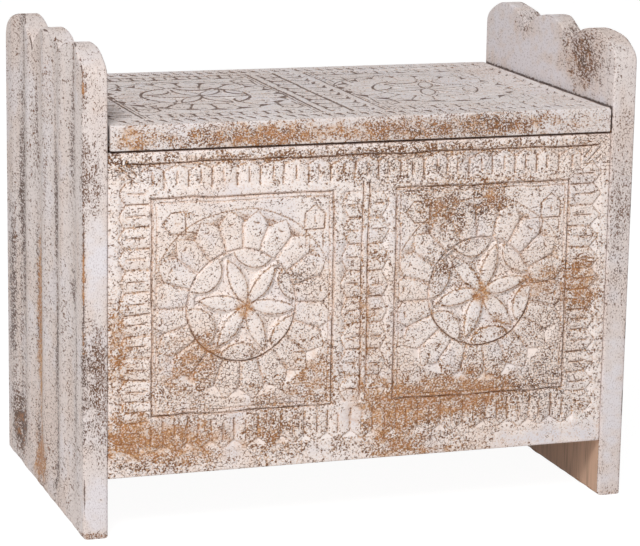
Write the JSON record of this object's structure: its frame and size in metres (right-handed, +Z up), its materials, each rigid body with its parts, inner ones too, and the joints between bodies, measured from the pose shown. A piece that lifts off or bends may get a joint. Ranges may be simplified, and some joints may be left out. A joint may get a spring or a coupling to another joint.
{
  "type": "carved storage trunk",
  "caption": "Whitewashed carved wooden trunk that doubles as a bench: lobed and fluted end boards, carved front with rosettes, and a carved seat lid hinged at the back.",
  "frame": {"origin": "on the floor under the middle of the trunk", "axes": "+X along the width to the viewer's right, +Y from the front to the back, +Z up"},
  "size_m": [0.7, 0.418, 0.587],
  "materials": {
    "washed_wood": "worn white wash over brown wood",
    "bare_wood": "bare sawn wood",
    "steel": "dull",
    "brass": "tarnished"
  },
  "bodies": {
    "carcass": {"left_end": "washed_wood", "right_end": "washed_wood", "front_panel": "washed_wood", "back_panel": "washed_wood", "left_lid_ledge": "bare_wood", "right_lid_ledge": "bare_wood", "front_left_post": "bare_wood", "back_left_post": "bare_wood", "front_right_post": "bare_wood", "back_right_post": "bare_wood", "front_bottom_cleat": "bare_wood", "back_bottom_cleat": "bare_wood", "bottom_plank_1": "bare_wood", "bottom_plank_2": "bare_wood", "bottom_plank_3": "bare_wood", "bottom_plank_4": "bare_wood", "bottom_plank_5": "bare_wood", "left_hinge_lower_leaf": "brass", "right_hinge_lower_leaf": "brass", "left_hinge_pin": "brass", "right_hinge_pin": "brass", "hinge_lower_screws": "brass", "post_screws": "steel", "ledge_screws": "steel", "cleat_screws": "steel", "plank_screws": "steel"},
    "lid": {"lid_board": "washed_wood", "left_lid_batten": "bare_wood", "right_lid_batten": "bare_wood", "left_hinge_upper_leaf": "brass", "right_hinge_upper_leaf": "brass", "hinge_upper_screws": "brass", "batten_screws": "steel"}
  },
  "joints": [
    {"name": "lid_hinge", "type": "hinge", "parent": "carcass", "child": "lid", "pos_m": [0, 0.191, 0.4667], "axis": [-1, 0, 0], "range_deg": [0, 105]}
  ]
}
